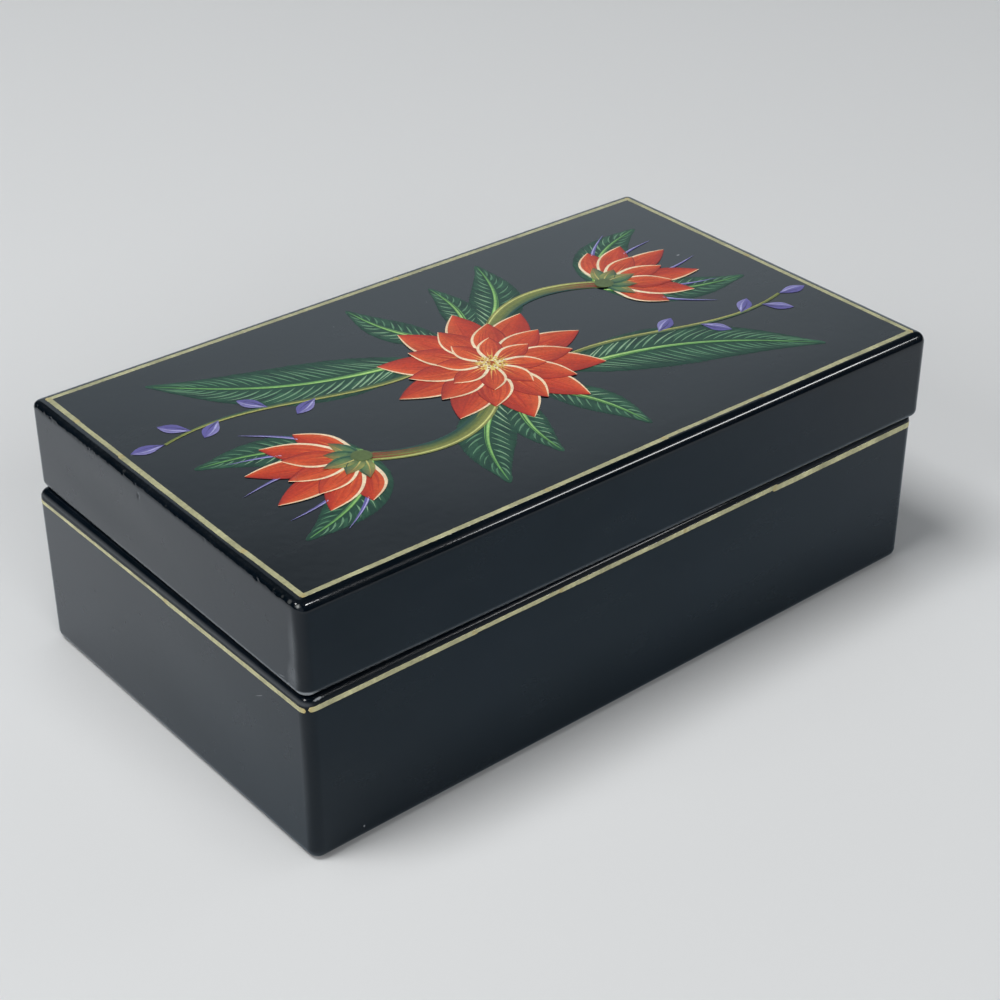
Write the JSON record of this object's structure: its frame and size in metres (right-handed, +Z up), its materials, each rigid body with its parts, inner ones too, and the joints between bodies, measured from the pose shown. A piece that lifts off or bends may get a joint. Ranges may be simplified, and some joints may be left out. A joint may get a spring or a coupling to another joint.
{
  "type": "trinket box",
  "caption": "Long rectangular black lacquered box of glued boards, with a lift-off lid over an inner lip, gold edge lines and a painted floral spray on the lid.",
  "frame": {"origin": "centre of the base's underside, the face that the box rests on", "axes": "+X along the length towards the right, +Y towards the back, -Y facing the front, +Z up"},
  "size_m": [0.1714, 0.1021, 0.0604],
  "materials": {
    "black_lacquer": "polished black lacquer on wood, high gloss",
    "inside_lacquer": "brushed black lacquer on wood, semi-gloss",
    "felt": "short dense felt, matt",
    "gold_paint": "hand-painted dull gold line",
    "leaf_green_paint": "dark green brush paint under varnish",
    "rib_green_paint": "light green brush paint under varnish",
    "stem_olive_paint": "olive brush paint under varnish",
    "violet_paint": "violet-blue brush paint under varnish",
    "petal_red_paint": "orange-red brush paint under varnish",
    "petal_orange_paint": "orange brush paint under varnish",
    "cream_paint": "cream-yellow brush paint under varnish"
  },
  "bodies": {
    "base": {"base_floor_panel": "black_lacquer", "base_front_wall": "black_lacquer", "base_back_wall": "black_lacquer", "base_left_wall": "black_lacquer", "base_right_wall": "black_lacquer", "lip_front": "inside_lacquer", "lip_back": "inside_lacquer", "lip_left": "inside_lacquer", "lip_right": "inside_lacquer", "floor_lining": "felt", "base_gold_line": "gold_paint"},
    "lid": {"lid_top_panel": "black_lacquer", "lid_front_wall": "black_lacquer", "lid_back_wall": "black_lacquer", "lid_left_wall": "black_lacquer", "lid_right_wall": "black_lacquer", "lid_gold_line": "gold_paint", "painted_leaves": "leaf_green_paint", "painted_leaf_ribs": "rib_green_paint", "painted_stems": "stem_olive_paint", "painted_violet_sprigs": "violet_paint", "painted_petals": "petal_red_paint", "painted_inner_petals": "petal_orange_paint", "painted_flower_hearts": "cream_paint"}
  },
  "joints": [
    {"name": "lid_lift", "type": "slide", "parent": "base", "child": "lid", "axis": [0, 0, 1], "range_m": [0, 0.06]}
  ]
}
